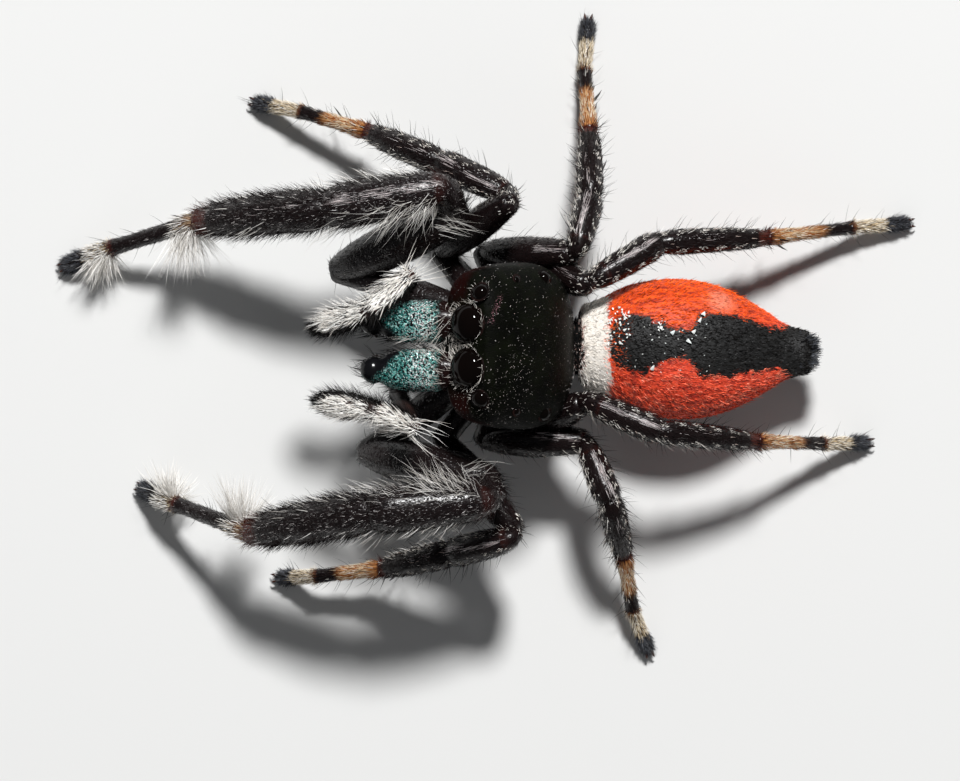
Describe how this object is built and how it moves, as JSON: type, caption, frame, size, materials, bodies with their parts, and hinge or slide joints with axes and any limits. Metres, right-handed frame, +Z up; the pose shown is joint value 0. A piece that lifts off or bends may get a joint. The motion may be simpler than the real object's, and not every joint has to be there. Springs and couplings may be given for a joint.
{
  "type": "male brilliant jumping spider, still model",
  "caption": "Life-size still model of a male brilliant jumping spider standing with its head raised, front legs held forward and a black-striped red abdomen.",
  "frame": {"origin": "middle of the footprint, on the floor under the feet", "axes": "+Z up; -Y ahead of the spider's face, +Y toward the tip of the abdomen; +X toward its left side"},
  "size_m": [0.013, 0.0174, 0.0051],
  "materials": {
    "carapace_shell": "black cuticle with a faint olive cast, under short dark hairs and scattered bright scales",
    "shell": "black to dark brown cuticle, satin",
    "leg_shell": "black cuticle with dark bristles, pale scales at the knees and pale rings on the feet",
    "abdomen_coat": "orange-red scales and short hair, a cream band in front and a black toothed stripe along the back",
    "tail_coat": "black short hair",
    "palp_hair": "cream-white hairs above and black hairs beneath",
    "chelicera_scales": "blue-green iridescent scales, glossy black toward the fangs",
    "fang": "polished dark brown",
    "eye_lens": "wet-looking black lens"
  },
  "bodies": {
    "root": {"abdomen": "abdomen_coat", "carapace": "carapace_shell", "left_chelicera": "chelicera_scales", "left_fang": "fang", "left_leg_1_coxa": "leg_shell", "left_leg_1_femur": "leg_shell", "left_leg_1_foot": "leg_shell", "left_leg_1_patella": "leg_shell", "left_leg_1_tibia": "leg_shell", "left_leg_2_coxa": "leg_shell", "left_leg_2_femur": "leg_shell", "left_leg_2_foot": "leg_shell", "left_leg_2_shin": "leg_shell", "left_leg_3_coxa": "leg_shell", "left_leg_3_femur": "leg_shell", "left_leg_3_foot": "leg_shell", "left_leg_3_shin": "leg_shell", "left_leg_4_coxa": "leg_shell", "left_leg_4_femur": "leg_shell", "left_leg_4_foot": "leg_shell", "left_leg_4_shin": "leg_shell", "left_main_eye": "eye_lens", "left_palp_base": "shell", "left_palp_brush": "palp_hair", "left_palp_femur": "leg_shell", "left_rear_eye": "eye_lens", "left_side_eye": "eye_lens", "left_small_eye": "eye_lens", "pedicel": "shell", "right_chelicera": "chelicera_scales", "right_fang": "fang", "right_leg_1_coxa": "leg_shell", "right_leg_1_femur": "leg_shell", "right_leg_1_foot": "leg_shell", "right_leg_1_patella": "leg_shell", "right_leg_1_tibia": "leg_shell", "right_leg_2_coxa": "leg_shell", "right_leg_2_femur": "leg_shell", "right_leg_2_foot": "leg_shell", "right_leg_2_shin": "leg_shell", "right_leg_3_coxa": "leg_shell", "right_leg_3_femur": "leg_shell", "right_leg_3_foot": "leg_shell", "right_leg_3_shin": "leg_shell", "right_leg_4_coxa": "leg_shell", "right_leg_4_femur": "leg_shell", "right_leg_4_foot": "leg_shell", "right_leg_4_shin": "leg_shell", "right_main_eye": "eye_lens", "right_palp_base": "shell", "right_palp_brush": "palp_hair", "right_palp_femur": "leg_shell", "right_rear_eye": "eye_lens", "right_side_eye": "eye_lens", "right_small_eye": "eye_lens", "spinnerets": "tail_coat", "sternum": "shell"}
  },
  "joints": []
}
